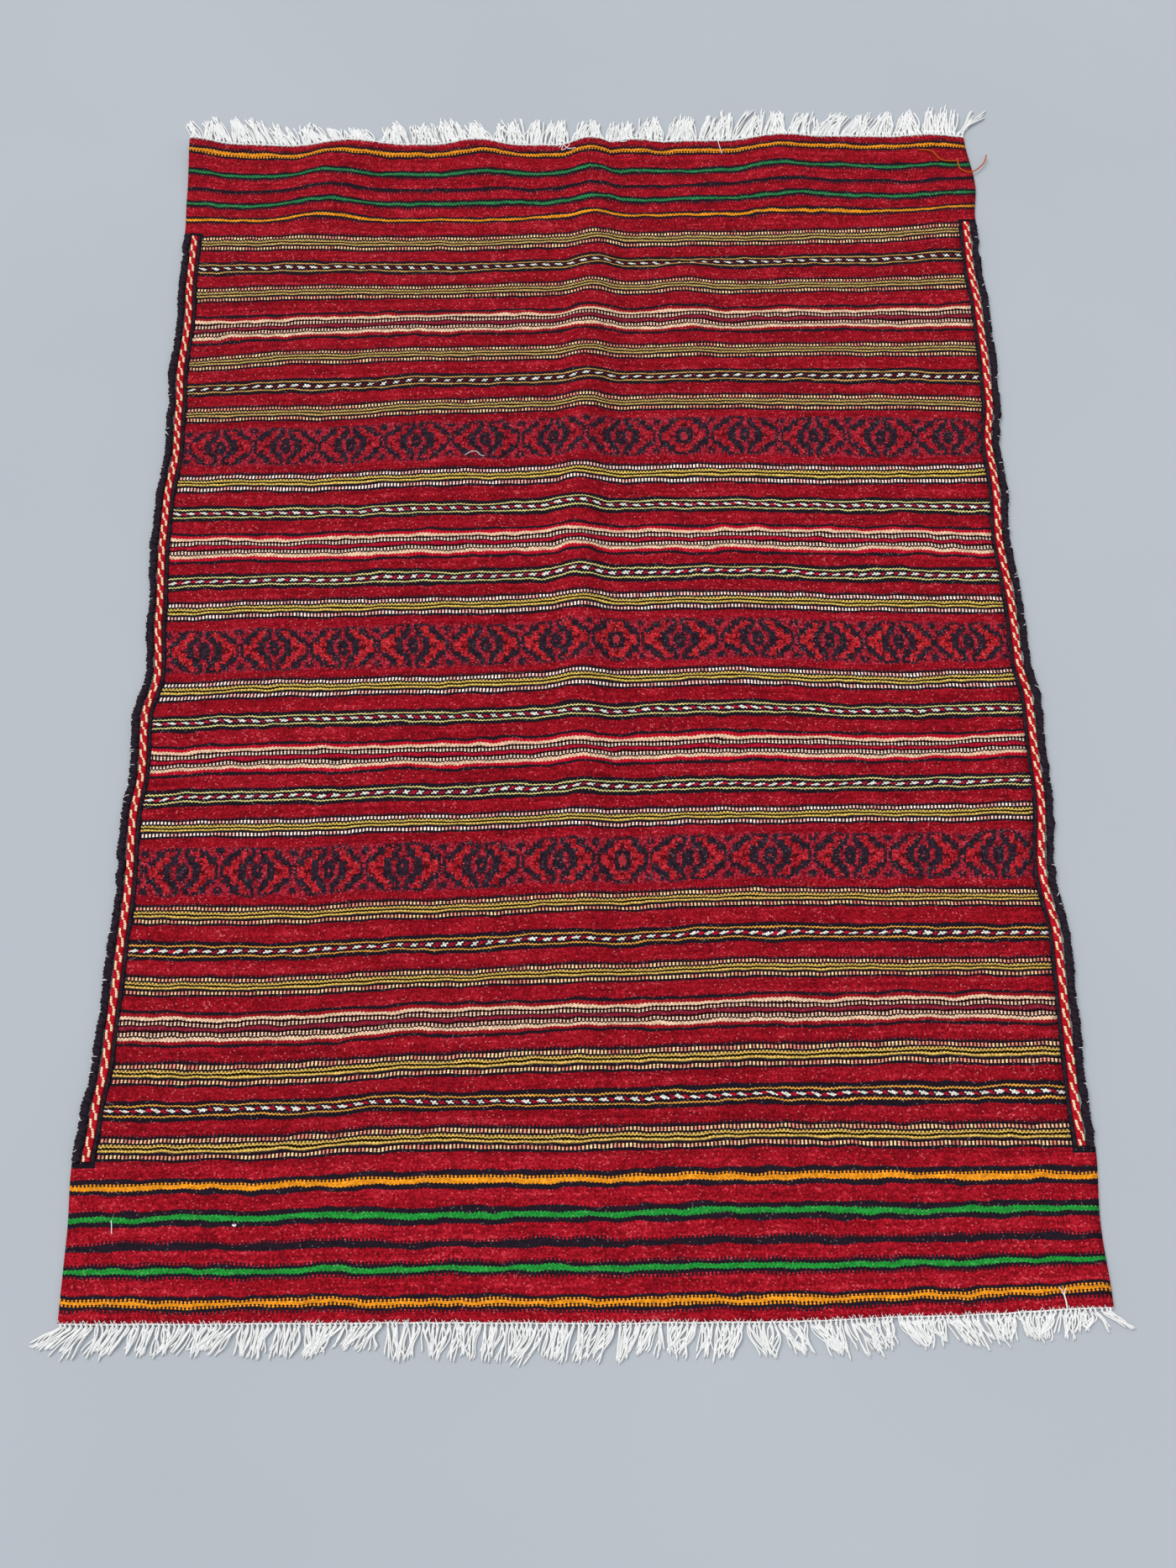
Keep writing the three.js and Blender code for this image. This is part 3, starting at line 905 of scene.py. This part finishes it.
def braid(name, node, side):
    """A flat band of slanted stitches, rounded over its middle, along one side of the cloth"""
    cells = 14
    along = along_edging(braid_step)
    part = np.linspace(0, 1, cells + 1)
    t, p = np.meshgrid(along, part, indexing="ij")
    x = p * braid_width
    start_s = half_width - braid_inset - braid_width if side > 0 else braid_inset - half_width
    s = start_s + x
    turn = (t + x * braid_slope) / stitch_pitch
    raised = np.abs(np.sin(math.pi * turn)) ** 0.5
    crown = np.clip(1 - (2 * p - 1) ** 4, 0, 1) ** 0.5
    over = braid_height * (0.42 + 0.58 * crown) * (0.76 + 0.24 * raised)
    upper = laid(s, t, over)
    lower = laid(s[:, [0, -1]], t[:, [0, -1]], 0.05)
    rows = len(along)
    points = np.concatenate([upper.reshape(-1, 3), lower.reshape(-1, 3)])
    start = rows * (cells + 1)
    faces = []
    for r in range(rows - 1):
        for i in range(cells):
            a = r * (cells + 1) + i
            faces.append((a, a + 1, a + cells + 2, a + cells + 1))
        a = r * (cells + 1)
        b = a + cells
        faces.append((a + cells + 1, start + 2 * r + 2, start + 2 * r, a))
        faces.append((b, start + 2 * r + 1, start + 2 * r + 3, b + cells + 1))
        faces.append((start + 2 * r, start + 2 * r + 2, start + 2 * r + 3, start + 2 * r + 1))
    ends = list(range(cells + 1))
    faces.append((*ends[::-1], start, start + 1))
    tail = [(rows - 1) * (cells + 1) + i for i in ends]
    faces.append((*tail, start + 2 * rows - 1, start + 2 * rows - 2))
    piece = new_piece(name, points, faces)
    piece.data.materials.append(two_wools)
    corners = corners_of(piece)
    all_x = np.concatenate([x.ravel(), x[:, [0, -1]].ravel()])[corners]
    all_t = np.concatenate([t.ravel(), t[:, [0, -1]].ravel()])[corners]
    give_map(piece, "wrap", all_x, all_t)
    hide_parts(node)
    return piece


for side, word in ((-1, "left"), (1, "right")):
    braid(f"two_colour_band_{word}", f"edge_braid_{word}", side)

# The fringes: at each end a taut white twined header, with the cotton warps knotted over it in
# small bundles. Their short ends stick up over the knots, and the long ones lie on the floor.
knot_pitch = 5.85
knots_per_end = 205

far_locks = np.array([
    # s, reach out from the cloth, lean to the right
    (-600, 46, -8), (-500, 55, -22), (-440, 42, -14), (-395, 42, -22), (-340, 37, -10),
    (-250, 44, -7), (-205, 52, -10), (-150, 44, -14), (-60, 52, 4), (60, 46, 2), (150, 50, 4),
    (240, 54, 14), (320, 55, 8), (390, 46, 24), (480, 50, 12), (560, 58, 8), (600, 58, 24),
], float)
near_locks = np.array([
    # s, reach out from the cloth, lean to the right
    (-600, 26, -36), (-560, 36, -20), (-480, 34, -4), (-420, 33, -16), (-330, 39, -4),
    (-260, 28, -22), (-220, 38, -3), (-80, 40, -8), (0, 42, -10), (100, 36, -9), (180, 41, 2),
    (225, 34, 16), (290, 38, 14), (350, 32, 12), (450, 34, 12), (530, 31, -8), (600, 22, 22),
], float)


def tube(path, radius, around):
    """Points and faces of one yarn along a path of places, thinner at its last place"""
    path = np.asarray(path, float)
    count = len(path)
    forward = np.gradient(path, axis=0)
    forward /= np.maximum(np.linalg.norm(forward, axis=1, keepdims=True), 1e-9)
    upward = np.tile(np.array([0.0, 0.0, 1.0]), (count, 1))
    steep = np.abs(forward[:, 2]) > 0.95
    upward[steep] = np.array([0.0, 1.0, 0.0])
    sideways = np.cross(forward, upward)
    sideways /= np.linalg.norm(sideways, axis=1, keepdims=True)
    upward = np.cross(sideways, forward)
    turn = np.arange(around) / around * 2 * math.pi
    widths = np.broadcast_to(np.asarray(radius, float), (count,))[:, None, None]
    ring = sideways[:, None, :] * np.cos(turn)[None, :, None]
    ring = ring + upward[:, None, :] * np.sin(turn)[None, :, None]
    points = (path[:, None, :] + ring * widths).reshape(-1, 3)
    faces = [(a, a + around, b + around, b) for a, b in around_tube(count, around)]
    faces.append(tuple(range(around)))
    faces.append(tuple((count - 1) * around + i for i in range(around))[::-1])
    return points, faces


map_shift = 97


class Bundle:
    """Yarns that are joined into one mesh, each further along its map so that none are alike"""

    def __init__(self):
        self.points = []
        self.faces = []
        self.lengths = []
        self.count = 0

    def add(self, path, radius, around=6):
        points, faces = tube(path, radius, around)
        self.points.append(points)
        self.faces += [tuple(i + self.count for i in face) for face in faces]
        steps = np.linalg.norm(np.diff(np.asarray(path), axis=0), axis=1)
        length = np.concatenate([[0], np.cumsum(steps)])
        self.lengths.append(np.repeat(length, around) + map_shift * len(self.lengths))
        self.count += len(points)

    def piece(self, name, material, slot):
        made = new_piece(name, np.concatenate(self.points) * mm + rug_middle, self.faces)
        made.data.materials.append(material)
        corners = corners_of(made)
        turn = np.concatenate([np.arange(len(p)) for p in self.points])[corners] % 6
        along = np.concatenate(self.lengths)[corners]
        give_map(made, "yarn", turn / 6, along)
        return made


def cotton_finish():
    finish = Finish("fringe_cotton", 0.85)
    x, y = finish.place("yarn")
    twist = abs(((y / 2.2 + x) % 1) - 0.5) * 2
    soil = finish.noise(y / 40, x * 0.2, 1.0, 2.0)
    colour = finish.mix(soil, dyed(255, 255, 254), dyed(248, 247, 245))
    # Painted shade: the white yarn is a little darker in the grooves between its plies
    colour = finish.brighten(colour, twist * 0.08 + 0.92)
    return finish.surface(colour, soil * 0.2 + 0.75, twist, 0.0004)


white_cotton = cotton_finish()


def rug_place(s, t, over=0.0):
    """The same place as laid() gives, in millimetres from the rug's middle"""
    return (laid(s, t, over) - rug_middle) / mm


def fringe(name, node, end_t, outward, locks, seed, tails, header, yarn_radius, most_yarns, gathered):
    """tails says how often short ends stand over the knots and how long they are, header how far
    out and up the header lies and how thick its plies are, gathered how much the yarns clump"""
    chance = np.random.default_rng(seed)
    yarns = Bundle()
    tail_share, tail_length = tails
    header_out, header_up, ply_radius = header

    # Two plies of the header, twisted round each other
    ply_turn = 6.4
    header_s = np.linspace(-half_width, half_width, 1101)
    middle = rug_place(header_s, end_t, header_up)
    middle[:, 1] += outward * header_out + 0.5 * unevenness(header_s / 19, header_s * 0, seed)
    for ply in (0, math.pi):
        turn = header_s / ply_turn * 2 * math.pi + ply
        path = middle.copy()
        path[:, 1] += ply_radius * 0.85 * np.cos(turn)
        path[:, 2] += ply_radius * 0.85 * np.sin(turn)
        yarns.add(path, ply_radius, 5)

    # The yarns hang together in clumps, so the floor shows between them towards the tips
    clumps = np.cumsum(chance.uniform(24, 62, 40)) - half_width - 30

    for k in range(knots_per_end):
        s = (k - (knots_per_end - 1) / 2) * knot_pitch + chance.normal(0, 0.8)
        s = float(np.clip(s, -half_width + 2, half_width - 2))
        root = rug_place(s, end_t, 1.4)
        nearest = clumps[np.argmin(np.abs(clumps - s))]
        gather = (nearest - s) * gathered
        reach = float(read(locks, 1, s)) * (1 + chance.normal(0, 0.07))
        lean = float(read(locks, 2, s)) + 5 * float(unevenness(s / 21, 0.5, seed + 3))
        lean = lean + chance.normal(0, 2.5)

        # The knot over the header, and its short ends lying up on the cloth
        knot = [
            (root[0] - 0.6, root[1] - outward * 0.8, root[2] + 1.9),
            (root[0], root[1] + outward * 1.2, root[2] + 2.1),
            (root[0] + 0.6, root[1] + outward * 3.2, root[2] + 1.1),
            (root[0] + 0.5, root[1] + outward * 5.0, root[2] + 0.2),
        ]
        yarns.add(knot, [0.8, 1.35, 1.4, 1.1], 6)
        for way in (-1, 1):
            if chance.random() < tail_share:
                out = tail_length * chance.uniform(0.55, 1.1)
                spread = way * chance.uniform(1.5, 4.0)
                bent = chance.uniform(0.3, 0.9)
                yarns.add([
                    (root[0] + way * 0.3, root[1] + outward * 1.4, root[2] + 2.2),
                    (root[0] + spread * 0.5, root[1] - outward * out * 0.45, root[2] + 2.7),
                    (root[0] + spread, root[1] - outward * out, root[2] + 2.0 + bent),
                ], [0.6, 0.5, 0.32], 5)

        # The long yarns: out from the knot, down to the floor, bowed apart and often meeting again
        count = int(chance.integers(most_yarns - 1, most_yarns + 1))
        leaf = chance.random() < 0.45
        curl = chance.normal(0, 3.0)
        u = np.linspace(0, 1, 11)
        for j in range(count):
            place = (j - (count - 1) / 2) / max(1, (count - 1) / 2)
            bow = place * chance.uniform(1.8, 3.6) if leaf else place * chance.uniform(0.6, 2.0)
            tip = place * chance.uniform(0.5, 1.6) if leaf else place * chance.uniform(1.6, 4.6)
            long = reach * chance.uniform(0.72, 1.02)
            drift = chance.normal(0, 1.3)
            own_lean = lean + chance.normal(0, 2.6)
            x = root[0] + (own_lean + gather) * u ** 1.25
            x = x + bow * np.sin(math.pi * u ** 0.85) + tip * u ** 1.6
            x = x + curl * np.sin(2 * math.pi * u * 0.8) * u + drift * np.sin(5 * u + j)
            y = root[1] + outward * (2.4 + (long - 2.4) * u)
            y = y + outward * 0.6 * np.sin(7 * u + j)
            height = (0.4 + 1.5 * (j % 3)) * np.sin(math.pi * u) ** 0.7 * 0.6
            height = height + yarn_radius + 0.05
            drop = np.clip(1 - u / 0.34, 0, 1)
            z = height + (root[2] + 0.6 - height) * ease(drop)
            thick = yarn_radius * chance.uniform(0.85, 1.12)
            radius = np.full(len(u), thick)
            radius[-1] = thick * 0.7
            radius[-2] = thick * 1.15
            yarns.add(np.stack([x, y, z], axis=1), radius, 6)
    made = yarns.piece(name, white_cotton, "fringe_cotton")
    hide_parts(node)
    return made


far_fringe = fringe(
    "far_fringe", "fringe_far", far_end, outward=1, locks=far_locks, seed=11, tails=(0.5, 3.4),
    header=(1.6, 2.6, 0.95), yarn_radius=1.15, most_yarns=5, gathered=0.5,
)
near_fringe = fringe(
    "near_fringe", "fringe_near", near_end, outward=-1, locks=near_locks, seed=23, tails=(0.7, 4.2),
    header=(0.2, 2.9, 0.6), yarn_radius=1.0, most_yarns=4, gathered=0.44,
)

# Loose ends of yarn that lie on the cloth: white cotton by the far fringe, an orange wool end at
# the far right corner, a few short ones further down, and pale strands that stray over the
# side cords.
cotton_threads = Bundle()
wool_threads = Bundle()
loose_clearance = 1.6


def over_cloth(x, y, height):
    """How high a thread lies at the rug place (x, y), on the cloth or on the floor past it"""
    t = y - push(x, y)
    t = y - push(x, t)
    inside = (t < far_end + 1) & (t > near_end - 1)
    return np.where(inside, lift(x, t) + cloth_thickness + loose_clearance, 1.0) + height


def lay_thread(bundle, radius, places):
    """A thread through given rug places, rounded between them"""
    places = np.array(places, float)
    fine = np.linspace(0, len(places) - 1, (len(places) - 1) * 7 + 1)
    row = np.clip(fine.astype(int), 0, len(places) - 2)
    part = fine - row
    before = places[np.maximum(row - 1, 0)]
    start = places[row]
    end = places[row + 1]
    after = places[np.minimum(row + 2, len(places) - 1)]
    u = part[:, None]
    smooth = 0.5 * (
        2 * start + (end - before) * u + (2 * before - 5 * start + 4 * end - after) * u ** 2
        + (3 * start - before - 3 * end + after) * u ** 3
    )
    x = smooth[:, 0]
    y = smooth[:, 1]
    z = over_cloth(x, y, 0.3 + 0.3 * np.sin(fine * 1.7))
    bundle.add(np.stack([x, y, z], axis=1), radius, 6)


for radius, *places in [
    # radius, then places from one end to the other
    (0.6, (-34, 836), (-26, 846), (-18, 838), (-30, 832), (-22, 852), (-14, 846)),
    (0.6, (-38, 850), (-28, 842), (-20, 832), (-8, 828)),
    (0.6, (58, 850), (62, 842), (70, 842), (72, 850), (66, 856)),
    (0.55, (211, 868), (214, 850), (219, 826)),
    (0.5, (-166, 287), (-158, 292), (-150, 293), (-144, 288), (-139, 287)),
    (0.6, (-552, -727), (-551, -733), (-550, -742)),
    (1.2, (-411, -733), (-409, -734), (-407, -733)),
    (0.85, (549, -812), (551, -820), (552, -833)),
    (0.5, (545, -806), (548, -810), (550, -816)),
    (0.5, (553, -807), (551, -811), (550, -816)),
]:
    lay_thread(cotton_threads, radius, places)
lay_thread(wool_threads, 0.95, [(525, 832), (545, 828), (560, 812), (585, 812)])
lay_thread(wool_threads, 1.0, [(585, 815), (588, 797), (605, 792), (625, 808), (632, 825)])
stray = np.random.default_rng(77)
for side in (-1, 1):
    for t in stray.uniform(edging_near + 8, edging_far - 8, 34):
        start = side * (half_width + stray.uniform(-1, 2))
        lean = stray.normal(0, 2.4)
        length = stray.uniform(3, 6.5)
        path = rug_place(
            np.array([start, start - side * length * 0.5, start - side * length]),
            np.array([t, t + lean * 0.6, t + lean]), np.array([6.4, 7.3, 6.6]))
        cotton_threads.add(path, [0.35, 0.42, 0.3], 6)
cotton_ends = cotton_threads.piece("loose_cotton_ends", white_cotton, "fringe_cotton")
orange_wool = Finish("orange_wool_end", 0.9)
orange_y = orange_wool.place("yarn")[1]
orange_hairs = orange_wool.noise(orange_y * 1.3, 0.5, 2.0, 3.0)
orange_colour = orange_wool.mix(orange_hairs, dyed(158, 66, 18), dyed(218, 112, 34))
orange_wool.surface(orange_colour, orange_hairs * 0.2 + 0.75, orange_hairs, 0.0003)
wool_end = wool_threads.piece("loose_wool_end", orange_wool.material, "braid_wool")
